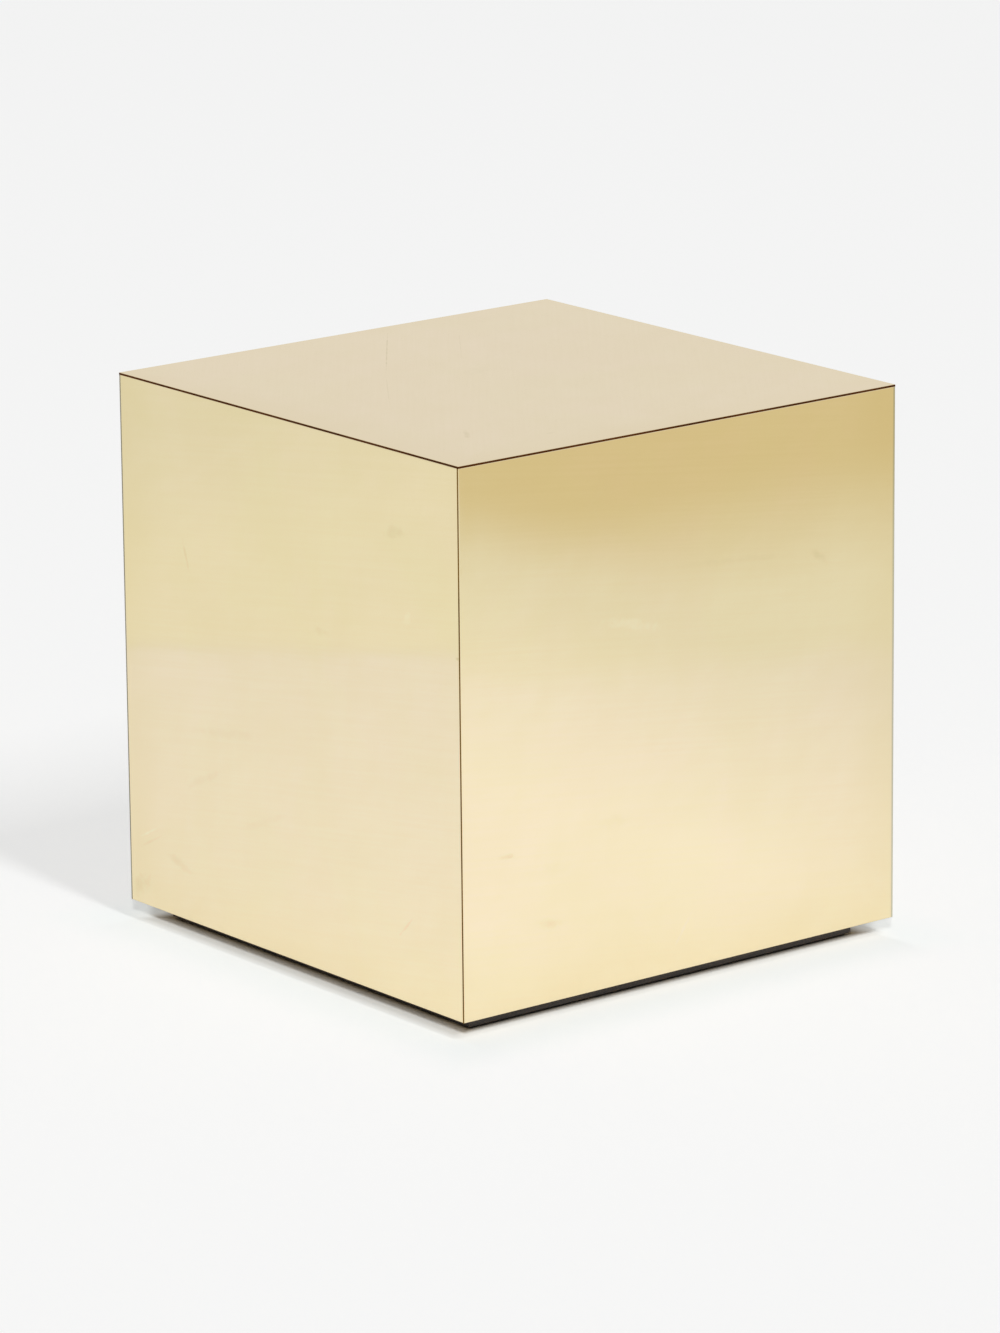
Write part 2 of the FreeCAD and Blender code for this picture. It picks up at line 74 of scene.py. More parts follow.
class Tree:
    """The node tree of a material or a world, with one short method for each kind of node used."""

    def __init__(self, owner):
        self.owner = owner
        owner.use_nodes = True
        self.nodes = owner.node_tree.nodes
        self.links = owner.node_tree.links
        self.nodes.clear()
        texture_place = self.add("ShaderNodeTexCoord")
        self.place = texture_place.outputs["Object"]
        self.way = texture_place.outputs["Generated"]

    def add(self, kind, **settings):
        node = self.nodes.new(kind)
        for key, value in settings.items():
            setattr(node, key, value)
        return node

    def put(self, socket, value):
        if isinstance(value, bpy.types.NodeSocket):
            self.links.new(value, socket)
        elif socket.type == "RGBA" and len(value) == 3:
            socket.default_value = (*value, 1.0)
        else:
            socket.default_value = value

    def calc(self, operation, a, b=0.0, clamp=False):
        node = self.add("ShaderNodeMath", operation=operation, use_clamp=clamp)
        self.put(node.inputs[0], a)
        self.put(node.inputs[1], b)
        return node.outputs[0]

    def times(self, *parts):
        product = parts[0]
        for part in parts[1:]:
            product = self.calc("MULTIPLY", product, part)
        return product

    def dot(self, vector, axis):
        node = self.add("ShaderNodeVectorMath", operation="DOT_PRODUCT")
        self.put(node.inputs[0], vector)
        node.inputs[1].default_value = axis
        return node.outputs["Value"]

    def stretch(self, vector, turn=(0.0, 0.0, 0.0), size=(1.0, 1.0, 1.0)):
        """The place turned by degrees, then scaled, so that a pattern runs along one direction."""
        node = self.add("ShaderNodeMapping", vector_type="POINT")
        self.put(node.inputs["Vector"], vector)
        node.inputs["Rotation"].default_value = [math.radians(angle) for angle in turn]
        grown = self.add("ShaderNodeVectorMath", operation="MULTIPLY")
        self.put(grown.inputs[0], node.outputs[0])
        grown.inputs[1].default_value = size
        return grown.outputs[0]

    def shift(self, vector, by):
        node = self.add("ShaderNodeVectorMath", operation="ADD")
        self.put(node.inputs[0], vector)
        self.put(node.inputs[1], by)
        return node.outputs[0]

    def noise(self, vector, scale, detail=3.0, rough=0.5, warp=0.0):
        node = self.add("ShaderNodeTexNoise", noise_dimensions="3D")
        self.put(node.inputs["Vector"], vector)
        node.inputs["Scale"].default_value = scale
        node.inputs["Detail"].default_value = detail
        node.inputs["Roughness"].default_value = rough
        node.inputs["Distortion"].default_value = warp
        return node.outputs["Fac"]

    def cells(self, vector, scale):
        node = self.add("ShaderNodeTexVoronoi", feature="F1")
        self.put(node.inputs["Vector"], vector)
        node.inputs["Scale"].default_value = scale
        return node.outputs["Distance"]

    def rings(self, vector, scale, warp, detail=2.0, direction="X"):
        node = self.add(
            "ShaderNodeTexWave", wave_type="RINGS", rings_direction=direction
        )
        self.put(node.inputs["Vector"], vector)
        node.inputs["Scale"].default_value = scale
        node.inputs["Distortion"].default_value = warp
        node.inputs["Detail"].default_value = detail
        return node.outputs["Fac"]

    def span(self, value, low, high, to_low=0.0, to_high=1.0, smooth=True):
        """value going from low to high becomes to_low going to to_high, and stays within them."""
        node = self.add(
            "ShaderNodeMapRange",
            interpolation_type="SMOOTHSTEP" if smooth else "LINEAR",
            clamp=True,
        )
        self.put(node.inputs["Value"], value)
        node.inputs["From Min"].default_value = low
        node.inputs["From Max"].default_value = high
        node.inputs["To Min"].default_value = to_low
        node.inputs["To Max"].default_value = to_high
        return node.outputs["Result"]

    def mix(self, factor, a, b, blend="MIX"):
        node = self.add("ShaderNodeMix", data_type="RGBA", blend_type=blend)
        self.put(node.inputs["Factor"], factor)
        self.put(node.inputs[6], a)
        self.put(node.inputs[7], b)
        return node.outputs[2]

    def bump(self, height, distance, below=None):
        node = self.add("ShaderNodeBump")
        node.inputs["Strength"].default_value = 1.0
        node.inputs["Distance"].default_value = distance
        self.put(node.inputs["Height"], height)
        if below is not None:
            self.put(node.inputs["Normal"], below)
        return node.outputs["Normal"]

    def near_edge(self, low, high, width):
        """1 on the edges of the box from low to high, falling to 0 at width from them."""
        split = self.add("ShaderNodeSeparateXYZ")
        self.put(split.inputs[0], self.place)
        gaps = []
        for axis in range(3):
            here = split.outputs[axis]
            up = self.calc("SUBTRACT", here, low[axis])
            down = self.calc("SUBTRACT", high[axis], here)
            gaps.append(self.calc("MINIMUM", up, down))
        least = self.calc("MINIMUM", gaps[0], gaps[1])
        most = self.calc("MAXIMUM", gaps[0], gaps[1])
        middle = self.calc("MAXIMUM", least, self.calc("MINIMUM", most, gaps[2]))
        return self.span(middle, 0.0, width, 1.0, 0.0)

    def surface(self, colour, roughness, normal=None, **fixed):
        """Ends the tree in a Principled shader, with the fixed inputs set on its own sockets."""
        shader = self.add("ShaderNodeBsdfPrincipled")
        self.put(shader.inputs["Base Color"], colour)
        self.put(shader.inputs["Roughness"], roughness)
        if normal is not None:
            self.put(shader.inputs["Normal"], normal)
        for key, value in fixed.items():
            shader.inputs[key.replace("_", " ")].default_value = value
        out = self.add("ShaderNodeOutputMaterial")
        self.links.new(shader.outputs["BSDF"], out.inputs["Surface"])
        return self.owner


# ---------------------------------------------------------------- brass

BRASS = (0.928, 0.813, 0.543)
BRASS_ROSY = (0.938, 0.809, 0.560)
BRASS_DULL = (0.882, 0.754, 0.466)
BRASS_STAIN = (0.72, 0.62, 0.355)
BRASS_WIPED = (0.985, 0.885, 0.640)
BRASS_RIM = (0.50, 0.49, 0.38)
MIRROR_ROUGHNESS = 0.055

# Each face's own directions, seen from outside: across to the right, and down.
FACE_AXES = {
    "front": (Vector((1, 0, 0)), Vector((0, 0, -1))),
    "right": (Vector((0, 1, 0)), Vector((0, 0, -1))),
    "back": (Vector((-1, 0, 0)), Vector((0, 0, -1))),
    "left": (Vector((0, -1, 0)), Vector((0, 0, -1))),
    "top": (Vector((1, 0, 0)), Vector((0, -1, 0))),
}

# The side where each sheet is duller, as a share across the face.
DULLER_SIDE = {"front": 1.0, "right": 0.0, "back": 1.0, "left": 0.0, "top": 0.0}

# The direction of the fine wiping strokes, in degrees up from level.
WIPE_ANGLE = {"front": -7, "right": 9, "back": -6, "left": 8, "top": 52}

# Smudges and hairline marks: across and down as shares of the face, length and width in mm,
# degrees up from level, strength. A negative strength is a spot wiped brighter.
FACE_MARKS = {
    "left": (
        (0.82, 0.148, 31, 11, 12, 0.36),
        (0.195, 0.305, 29, 3.2, -72, 0.42),
        (0.60, 0.37, 20, 7, 4, 0.22),
        (0.235, 0.72, 60, 8, 25, 0.18),
        (0.42, 0.76, 65, 7, 22, 0.12),
        (0.31, 0.617, 85, 8, 8, 0.16),
        (0.155, 0.895, 30, 9, -15, 0.36),
        (0.07, 0.872, 34, 2.4, 27, 0.34),
        (0.06, 0.858, 30, 2.2, 27, -0.40),
        (0.836, 0.862, 26, 2.6, 45, 0.45),
        (0.03, 0.965, 30, 16, 35, 0.45),
        (0.85, 0.30, 14, 9, 60, -0.35),
        (0.991, 0.342, 5, 3, 0, 1.00),
    ),
    "front": (
        (0.097, 0.715, 18, 4.5, -5, 0.50),
        (0.345, 0.695, 38, 11, 2, 0.16),
        (0.195, 0.856, 28, 9, -8, 0.34),
        (0.195, 0.758, 50, 15, 3, 0.12),
        (0.82, 0.289, 22, 8, -35, 0.34),
        (0.383, 0.342, 58, 10, -14, -0.45),
        (0.50, 0.925, 34, 3.0, 55, -0.35),
        (0.62, 0.265, 120, 7, -4, 0.12),
    ),
    "top": (
        (0.473, 0.185, 158, 1.3, 52, 0.95),
        (0.277, 0.443, 103, 1.1, 54, 0.45),
        (0.613, 0.226, 110, 0.9, 53, 0.35),
        (0.165, 0.815, 36, 5, 57, 0.60),
        (0.285, 0.90, 9, 5, 10, 0.30),
        (0.50, 0.42, 30, 22, 50, 0.10),
    ),
    "right": (
        (0.30, 0.42, 22, 9, -24, 0.34),
        (0.66, 0.74, 30, 2.0, 64, 0.42),
        (0.12, 0.20, 24, 10, 12, 0.30),
        (0.48, 0.58, 80, 8, 10, 0.15),
    ),
    "back": (
        (0.58, 0.36, 24, 11, 30, 0.32),
        (0.24, 0.80, 28, 2.0, -58, 0.42),
        (0.86, 0.62, 20, 8, -15, 0.30),
        (0.40, 0.66, 70, 8, -9, 0.14),
    ),
}


def face_mark(tree, across, down, ragged, mark):
    """A soft ragged smudge or hairline on a face, as a mask from 0 to its strength."""
    at_across, at_down, length, width, turn, strength = mark
    dx = tree.calc("SUBTRACT", across, at_across * CUBE_SIDE)
    dy = tree.calc("SUBTRACT", down, at_down * CUBE_SIDE)
    c, s = math.cos(math.radians(turn)), math.sin(math.radians(turn))
    along = tree.calc(
        "SUBTRACT", tree.calc("MULTIPLY", dx, c), tree.calc("MULTIPLY", dy, s)
    )
    over = tree.calc("ADD", tree.calc("MULTIPLY", dx, s), tree.calc("MULTIPLY", dy, c))
    along = tree.calc("DIVIDE", along, 0.5 * length * MM)
    over = tree.calc("DIVIDE", over, 0.5 * width * MM)
    reach = tree.calc(
        "ADD", tree.calc("MULTIPLY", along, along), tree.calc("MULTIPLY", over, over)
    )
    reach = tree.calc("ADD", reach, ragged)
    return tree.span(reach, -0.2, 1.2, abs(strength), 0.0)


def brass_material(face, seed):
    """Polished brass under wipe haze, with hairline scratches, small marks and duller edges."""
    tree = Tree(bpy.data.materials.new(f"brass_{face}"))
    across_axis, down_axis = FACE_AXES[face]
    middle = Vector((0, 0, (BODY_LOW_Z + TOP_Z) / 2))
    across = tree.dot(tree.place, across_axis)
    across = tree.calc("ADD", across, HALF - middle.dot(across_axis))
    down = tree.dot(tree.place, down_axis)
    down = tree.calc("ADD", down, HALF - middle.dot(down_axis))
    flat = tree.add("ShaderNodeCombineXYZ")
    tree.put(flat.inputs[0], across)
    tree.put(flat.inputs[1], down)
    flat.inputs[2].default_value = seed
    flat = flat.outputs[0]

    # Haze: clouds, strokes of a cloth and dried drips.
    cloud = tree.noise(flat, 11.0, 4.0, 0.55, 0.8)
    wipe = tree.noise(
        tree.stretch(flat, (0, 0, 28), (9.0, 46.0, 1.0)), 1.0, 3.0, 0.55, 0.5
    )
    drip = tree.noise(
        tree.stretch(flat, (0, 0, -8), (70.0, 10.0, 1.0)), 1.0, 3.0, 0.5, 0.3
    )
    haze = tree.calc("MULTIPLY", cloud, 0.5)
    haze = tree.calc("ADD", haze, tree.calc("MULTIPLY", wipe, 0.3))
    haze = tree.calc("ADD", haze, tree.calc("MULTIPLY", drip, 0.2))
    haze = tree.span(haze, 0.36, 0.64)

    # Hairline scratches two ways, gathered in patches, and specks.
    hair_a = tree.noise(
        tree.stretch(flat, (0, 0, 37), (14.0, 2600.0, 1.0)), 1.0, 1.0, 0.4
    )
    hair_b = tree.noise(
        tree.stretch(flat, (0, 0, -64), (18.0, 2200.0, 1.0)), 1.0, 1.0, 0.4
    )
    hair = tree.calc(
        "MAXIMUM", tree.span(hair_a, 0.70, 0.78), tree.span(hair_b, 0.71, 0.79)
    )
    patch = tree.span(tree.noise(flat, 16.0, 2.0), 0.48, 0.66)
    hair = tree.calc("MULTIPLY", hair, patch)
    specks = tree.span(tree.noise(flat, 900.0, 1.0), 0.76, 0.82)

    # The grain of the wiping strokes.
    turn = WIPE_ANGLE[face]
    stroke = tree.noise(tree.stretch(flat, (0, 0, turn), (9.0, 430.0, 1.0)), 1.0, 3.0, 0.6)
    stroke = tree.span(stroke, 0.32, 0.68)

    # Smudges, and spots wiped brighter.
    ragged = tree.span(tree.noise(flat, 150.0, 3.0, 0.6), 0.25, 0.75, -0.7, 0.9, smooth=False)
    marks, wiped = 0.0, 0.0
    for mark in FACE_MARKS[face]:
        mask = face_mark(tree, across, down, ragged, mark)
        if mark[-1] > 0:
            marks = tree.calc("MAXIMUM", marks, mask)
        else:
            wiped = tree.calc("MAXIMUM", wiped, mask)
    mottle = tree.span(tree.noise(flat, 300.0, 2.0), 0.3, 0.6, 0.55, 1.0)
    marks = tree.times(marks, mottle)

    # Duller along one side and towards the foot, and rubbed on the edges.
    from_side = tree.calc("SUBTRACT", across, DULLER_SIDE[face] * CUBE_SIDE)
    near_side = tree.span(tree.calc("ABSOLUTE", from_side), 0.0, 55 * MM, 1.0, 0.0)
    near_foot = tree.times(
        tree.span(down, CUBE_SIDE - 45 * MM, CUBE_SIDE, 0.0, 1.0),
        tree.span(tree.calc("ABSOLUTE", from_side), 0.7 * CUBE_SIDE, CUBE_SIDE, 1.0, 0.45),
    )
    duller_part = tree.times(
        tree.calc("MAXIMUM", near_side, near_foot), tree.span(cloud, 0.2, 0.8, 0.3, 0.8)
    )

    low, high = BOX_LOW.copy(), BOX_HIGH.copy()
    low.z = BODY_LOW_Z
    rub = tree.calc(
        "MULTIPLY",
        tree.near_edge(low, high, 7 * MM),
        tree.span(tree.noise(flat, 130.0, 3.0, 0.6), 0.42, 0.62, 0.25, 1.0),
    )

    patches = tree.span(tree.noise(flat, 9.0, 4.0, 0.65, 0.6), 0.36, 0.64)
    colour = tree.mix(patches, BRASS, BRASS_ROSY)
    colour = tree.mix(tree.calc("MULTIPLY", haze, 0.30), colour, BRASS_DULL)
    colour = tree.mix(tree.times(stroke, 0.20), colour, BRASS_DULL)
    colour = tree.mix(duller_part, colour, BRASS_DULL)
    colour = tree.mix(tree.calc("MULTIPLY", rub, 0.30), colour, BRASS_DULL)
    # A dark grey line just inside the duller side's edge, on the front and back sheets only.
    rim = tree.span(tree.calc("ABSOLUTE", from_side), 0.8 * MM, 2.8 * MM, 0.85, 0.0)
    rim = tree.times(rim, DULLER_SIDE[face])
    colour = tree.mix(rim, colour, BRASS_RIM)
    colour = tree.mix(wiped, colour, BRASS_WIPED)
    colour = tree.mix(marks, colour, BRASS_STAIN)
    colour = tree.mix(tree.calc("MULTIPLY", specks, 0.30), colour, BRASS_STAIN)
    colour = tree.mix(tree.calc("MULTIPLY", hair, 0.10), colour, BRASS_STAIN)

    roughness = tree.calc("MULTIPLY", haze, 0.035)
    roughness = tree.calc("ADD", roughness, MIRROR_ROUGHNESS)
    wear = tree.calc("MAXIMUM", tree.calc("MAXIMUM", marks, rub), hair)
    roughness = tree.calc("ADD", roughness, tree.calc("MULTIPLY", wear, 0.05))

    # Relief: the sheet's ripple, the grain of its polish and the scratches.
    ripple = tree.bump(tree.noise(flat, 22.0, 2.0, 0.5, 0.4), 0.012 * MM)
    grain = tree.bump(
        tree.noise(tree.stretch(flat, (0, 0, 3), (30.0, 700.0, 1.0)), 1.0, 2.0),
        0.0006 * MM,
        ripple,
    )
    scored = tree.bump(tree.calc("SUBTRACT", 1.0, hair), 0.002 * MM, grain)
    return tree.surface(colour, roughness, scored, Metallic=1.0)


# Cross-sections of a sheet's rim: distance in from the rim and depth below the face, in mm.
BEVELLED_RIM = ((0.0, 0.148), (0.105, 0.045), (0.135, 0.017), (0.165, 0.004), (0.21, 0.0))
SAWN_RIM = ((0.0, 0.040), (0.012, 0.012), (0.040, 0.0))
GRID_STEP = 5 * MM
WAVE_DEPTH = 0.11 * MM
WAVE_FADE = 14 * MM


def rim_lines(length, low_rim, high_rim):
    """Places of the grid lines along one direction of a sheet, each with its depth at the rim."""
    low = [(d * MM, depth * MM) for d, depth in low_rim]
    high = [(length - d * MM, depth * MM) for d, depth in reversed(high_rim)]
    start, stop = low[-1][0], high[0][0]
    near = 1 * MM
    count = round((stop - start - 2 * near) / GRID_STEP)
    step = (stop - start - 2 * near) / count
    middle = [(start + near + i * step, 0.0) for i in range(count + 1)]
    return low + middle + high


def brass_sheet(face, seed):
    """The polished sheet of one face: a closed slab with slight waves and bevelled free edges."""
    node = f"{face}_brass_face"
    low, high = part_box(node)
    across, down = FACE_AXES[face]
    outward = across.cross(-down)
    corner = Vector()
    for axis in range(3):
        pull = across[axis] + down[axis] - outward[axis]
        corner[axis] = low[axis] if pull > 0 else high[axis]
    size = high - low
    width = abs(size.dot(across))
    height = abs(size.dot(down))
    thick = abs(size.dot(outward))
    free_ends = face in ("front", "back", "top")
    side_rim = BEVELLED_RIM if free_ends else SAWN_RIM
    upper_rim = BEVELLED_RIM if face == "top" else SAWN_RIM
    columns = rim_lines(width, side_rim, side_rim)
    rows = rim_lines(height, upper_rim, BEVELLED_RIM)

    mesh = bmesh.new()
    front, back = [], []
    for v, v_depth in rows:
        front_row, back_row = [], []
        for u, u_depth in columns:
            gap = min(u, width - u, v, height - v)
            fade = min(1.0, gap / WAVE_FADE)
            fade = fade * fade * (3 - 2 * fade)
            swell = noise.noise(Vector((u * 6.5, v * 6.5, seed)))
            swell += 0.35 * noise.noise(Vector((u * 15.0, v * 15.0, seed + 9.1)))
            swell = max(0.0, min(1.0, 0.5 + 0.62 * swell))
            depth = max(u_depth, v_depth) + WAVE_DEPTH * fade * swell
            place = corner + across * u + down * v
            front_row.append(mesh.verts.new(place - outward * depth))
            back_row.append(mesh.verts.new(place - outward * thick))
        front.append(front_row)
        back.append(back_row)
    for j in range(len(rows) - 1):
        for i in range(len(columns) - 1):
            a, b = front[j][i], front[j][i + 1]
            c, d = front[j + 1][i + 1], front[j + 1][i]
            mesh.faces.new((a, d, c, b)).smooth = True
            a, b = back[j][i], back[j][i + 1]
            c, d = back[j + 1][i + 1], back[j + 1][i]
            mesh.faces.new((a, b, c, d)).smooth = False
    for j in range(len(rows) - 1):
        for i in (0, len(columns) - 1):
            mesh.faces.new((front[j][i], front[j + 1][i], back[j + 1][i], back[j][i]))
    for i in range(len(columns) - 1):
        for j in (0, len(rows) - 1):
            mesh.faces.new((front[j][i], front[j][i + 1], back[j][i + 1], back[j][i]))
    bmesh.ops.recalc_face_normals(mesh, faces=mesh.faces)
    data = bpy.data.meshes.new(f"{face}_mirror_sheet")
    mesh.to_mesh(data)
    mesh.free()
    sheet = bpy.data.objects.new(f"{face}_mirror_sheet", data)
    bpy.context.scene.collection.objects.link(sheet)
    data.materials.append(brass_material(face, seed))
    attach(sheet, "root")
    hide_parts(node)
    return sheet


# ---------------------------------------------------------------- carcass materials


# Dark and light tones of the bare phenolic edges: the top's are dark, the walls' paler, and the
# back's, a painted highlight in pale grey, palest of all.
PHENOLIC_TOP = ((0.048, 0.0125, 0.0008), (0.080, 0.0215, 0.0018))
PHENOLIC_WALL = ((0.125, 0.068, 0.010), (0.190, 0.106, 0.018))
PHENOLIC_BACK_HIGHLIT = ((0.270, 0.240, 0.170), (0.340, 0.305, 0.220))


def phenolic_material(node, seed):
    """Filed brown edge of the laminate: fine strokes across its thickness, and a few pale rubs."""
    # The back's edges are painted pale grey, as a highlight.
    tones = {"top": PHENOLIC_TOP, "back": PHENOLIC_BACK_HIGHLIT}
    dark, light = tones.get(node.split("_")[0], PHENOLIC_WALL)
    tree = Tree(bpy.data.materials.new(f"phenolic_{node}"))
    place = tree.shift(tree.place, (seed, seed * 0.7, 0.0))
    tone = tree.noise(place, 14.0, 3.0, 0.6)
    strokes = tree.noise(tree.stretch(place, (0, 0, 0), (900, 900, 900)), 1.0, 2.0, 0.6)
    low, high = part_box(node)
    worn = tree.calc(
        "MULTIPLY",
        tree.near_edge(low, high, 0.25 * MM),
        tree.span(tree.noise(place, 60.0, 3.0), 0.5, 0.7),
    )
    colour = tree.mix(tree.span(tone, 0.35, 0.65), dark, light)
    rubbed = tuple(1.7 * channel for channel in light)
    colour = tree.mix(tree.span(strokes, 0.45, 0.75, 0.0, 0.35), colour, rubbed)
    colour = tree.mix(tree.calc("MULTIPLY", worn, 0.25), colour, (0.26, 0.17, 0.09))
    roughness = tree.span(strokes, 0.3, 0.7, 0.55, 0.75)
    bump = tree.bump(strokes, 0.02 * MM)
    return tree.surface(colour, roughness, bump, Specular_IOR_Level=0.05)


def fibreboard_material(node, seed):
    """Raw fibreboard: fine felted fibre, darker flecks, and fuzzier corners."""
    tree = Tree(bpy.data.materials.new(f"fibreboard_{node}"))
    place = tree.shift(tree.place, (seed, seed * 1.3, seed * 0.4))
    cloud = tree.noise(place, 18.0, 4.0, 0.6)
    fibre = tree.noise(tree.stretch(place, (12, 20, 35), (420, 160, 900)), 1.0, 4.0, 0.65)
    fleck = tree.span(tree.noise(place, 700.0, 2.0), 0.64, 0.72)
    low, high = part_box(node)
    worn = tree.calc(
        "MULTIPLY",
        tree.near_edge(low, high, 1.6 * MM),
        tree.span(tree.noise(place, 240.0, 3.0), 0.35, 0.65),
    )
    colour = tree.mix(tree.span(cloud, 0.3, 0.7), (0.42, 0.285, 0.165), (0.50, 0.355, 0.215))
    colour = tree.mix(tree.span(fibre, 0.4, 0.7, 0.0, 0.35), colour, (0.60, 0.46, 0.30))
    colour = tree.mix(tree.calc("MULTIPLY", fleck, 0.5), colour, (0.23, 0.14, 0.075))
    colour = tree.mix(tree.calc("MULTIPLY", worn, 0.35), colour, (0.62, 0.49, 0.33))
    roughness = tree.span(fibre, 0.3, 0.7, 0.72, 0.9)
    return tree.surface(colour, roughness, tree.bump(fibre, 0.05 * MM))


def timber_material(node, seed, pale, dark, ring_scale, axis):
    """Planed timber with growth rings running along axis, fine pores and bruised corners."""
    tree = Tree(bpy.data.materials.new(f"timber_{node}"))
    place = tree.shift(tree.place, (0.031 * seed, 0.047 * seed, 0.023 * seed))
    along = [420.0, 420.0, 420.0]
    along["XYZ".index(axis)] = 22.0
    rings = tree.rings(
        tree.shift(place, (0.05, 0.04, 0.06)), ring_scale, 1.6, 3.0, axis
    )
    grain = tree.noise(tree.stretch(place, (0, 0, 0), along), 1.0, 3.0, 0.6)
    cloud = tree.noise(place, 20.0, 3.0)
    low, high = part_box(node)
    worn = tree.calc(
        "MULTIPLY",
        tree.near_edge(low, high, 1.2 * MM),
        tree.span(tree.noise(place, 150.0, 3.0), 0.4, 0.65),
    )
    colour = tree.mix(tree.span(rings, 0.15, 0.95), pale, dark)
    colour = tree.mix(tree.span(grain, 0.5, 0.75, 0.0, 0.4), colour, dark)
    colour = tree.mix(tree.span(cloud, 0.35, 0.7, 0.0, 0.25), colour, (0.30, 0.17, 0.08))
    colour = tree.mix(tree.calc("MULTIPLY", worn, 0.4), colour, (0.35, 0.22, 0.12))
    roughness = tree.span(grain, 0.3, 0.7, 0.5, 0.68)
    height = tree.calc("ADD", grain, tree.calc("MULTIPLY", rings, 0.5))
    return tree.surface(colour, roughness, tree.bump(height, 0.04 * MM))


def plinth_paint_material(node, seed):
    """Satin black-brown paint brushed over softwood, rubbed through to brown along its edges."""
    tree = Tree(bpy.data.materials.new(f"plinth_paint_{node}"))
    place = tree.shift(tree.place, (seed * 0.3, seed * 0.2, 0.0))
    long_axis = 0 if node.startswith(("front", "back")) else 1
    along = [500.0, 500.0, 500.0]
    along[long_axis] = 16.0
    brush = tree.noise(tree.stretch(place, (0, 0, 0), along), 1.0, 3.0, 0.55)
    cloud = tree.noise(place, 30.0, 3.0)
    dust = tree.span(tree.noise(place, 160.0, 4.0, 0.65), 0.5, 0.75)
    low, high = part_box(node)
    rubbed = tree.calc(
        "MULTIPLY",
        tree.near_edge(low, high, 1.1 * MM),
        tree.span(tree.noise(place, 110.0, 4.0, 0.6), 0.48, 0.62),
    )
    colour = tree.mix(tree.span(cloud, 0.35, 0.65), (0.018, 0.0135, 0.011), (0.030, 0.022, 0.017))
    colour = tree.mix(tree.calc("MULTIPLY", dust, 0.10), colour, (0.16, 0.145, 0.13))
    colour = tree.mix(tree.calc("MULTIPLY", rubbed, 0.45), colour, (0.13, 0.075, 0.04))
    roughness = tree.span(brush, 0.3, 0.7, 0.40, 0.56)
    return tree.surface(colour, roughness, tree.bump(brush, 0.05 * MM))


def zinc_material(node, seed):
    """Zinc-plated steel: faint cloudy crystals, turning marks and rubbed high spots."""
    tree = Tree(bpy.data.materials.new(f"zinc_{node}"))
    place = tree.shift(tree.place, (seed, 0.0, seed * 0.5))
    crystal = tree.cells(place, 900.0)
    cloud = tree.noise(place, 260.0, 3.0, 0.6)
    rub = tree.span(tree.noise(place, 90.0, 3.0), 0.5, 0.7)
    colour = tree.mix(tree.span(cloud, 0.3, 0.7), (0.55, 0.56, 0.55), (0.70, 0.70, 0.67))
    colour = tree.mix(tree.calc("MULTIPLY", rub, 0.25), colour, (0.42, 0.40, 0.35))
    roughness = tree.span(crystal, 0.1, 0.8, 0.26, 0.44)
    return tree.surface(colour, roughness, tree.bump(cloud, 0.01 * MM), Metallic=1.0)


def felt_material(corner, seed):
    """Dense grey-brown wool felt: matted short fibres, paler fuzz and a few dark hairs."""
    tree = Tree(bpy.data.materials.new(f"felt_{corner}"))
    place = tree.shift(tree.place, (seed, seed, 0.0))
    matted = tree.noise(place, 900.0, 4.0, 0.7, 0.6)
    hair = tree.noise(tree.stretch(place, (0, 0, 50), (300, 2600, 1200)), 1.0, 2.0)
    cloud = tree.noise(place, 90.0, 3.0)
    colour = tree.mix(tree.span(cloud, 0.3, 0.7), (0.070, 0.062, 0.055), (0.115, 0.103, 0.092))
    colour = tree.mix(tree.span(matted, 0.5, 0.75, 0.0, 0.5), colour, (0.22, 0.20, 0.185))
    colour = tree.mix(tree.span(hair, 0.66, 0.74, 0.0, 0.6), colour, (0.03, 0.026, 0.022))
    roughness = tree.span(matted, 0.3, 0.7, 0.86, 0.98)
    return tree.surface(
        colour, roughness, tree.bump(matted, 0.12 * MM), Sheen_Weight=0.25
    )


def felt_pad(corner, seed):
    """One felt pad: a disc pressed a little thinner at its middle, with a soft uneven rim."""
    node = f"{corner}_pad"
    low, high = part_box(node)
    centre = (low + high) / 2
    radius = (high.x - low.x) / 2
    thick = high.z - low.z
    around = 96
    # The outline from the middle of the foot, round the rim, to the middle of the top:
    # shares of the radius and of the thickness.
    outline = (
        (0.00, 0.07), (0.45, 0.05), (0.80, 0.02), (0.93, 0.0), (0.975, 0.10),
        (1.00, 0.32), (1.00, 0.68), (0.985, 0.92), (0.96, 1.0), (0.45, 1.0), (0.0, 1.0),
    )
    mesh = bmesh.new()
    loops = []
    for share, lift in outline:
        loop = []
        count = around if share else 1
        for i in range(count):
            angle = 2 * math.pi * i / around
            way = Vector((math.cos(angle), math.sin(angle), 0.0))
            rough = noise.noise(Vector((way.x * 9, way.y * 9, seed + lift * 2)))
            pull = 0.35 * MM * (0.5 + 0.5 * rough) * share**4
            place = centre + way * (radius * share - pull)
            place.z = low.z + thick * lift
            loop.append(mesh.verts.new(place))
        loops.append(loop)
    for under, over in zip(loops, loops[1:]):
        for i in range(around):
            k = (i + 1) % around
            if len(under) == 1:
                mesh.faces.new((under[0], over[k], over[i]))
            elif len(over) == 1:
                mesh.faces.new((under[i], under[k], over[0]))
            else:
                mesh.faces.new((under[i], under[k], over[k], over[i]))
    bmesh.ops.recalc_face_normals(mesh, faces=mesh.faces)
    for face in mesh.faces:
        face.smooth = True
    data = bpy.data.meshes.new(f"{corner}_felt_pad")
    mesh.to_mesh(data)
    mesh.free()
    pad = bpy.data.objects.new(f"{corner}_felt_pad", data)
    bpy.context.scene.collection.objects.link(pad)
    data.materials.append(felt_material(corner, seed))
    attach(pad, "root")
    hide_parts(node)
    return pad


def dress(node, material):
    """Gives a carried-over CAD node its finish."""
    for material_slot in NODES[node].material_slots:
        material_slot.material = material


PINE_PALE, PINE_DARK = (0.66, 0.46, 0.26), (0.47, 0.27, 0.12)
BEECH_PALE, BEECH_DARK = (0.62, 0.42, 0.27), (0.50, 0.30, 0.17)


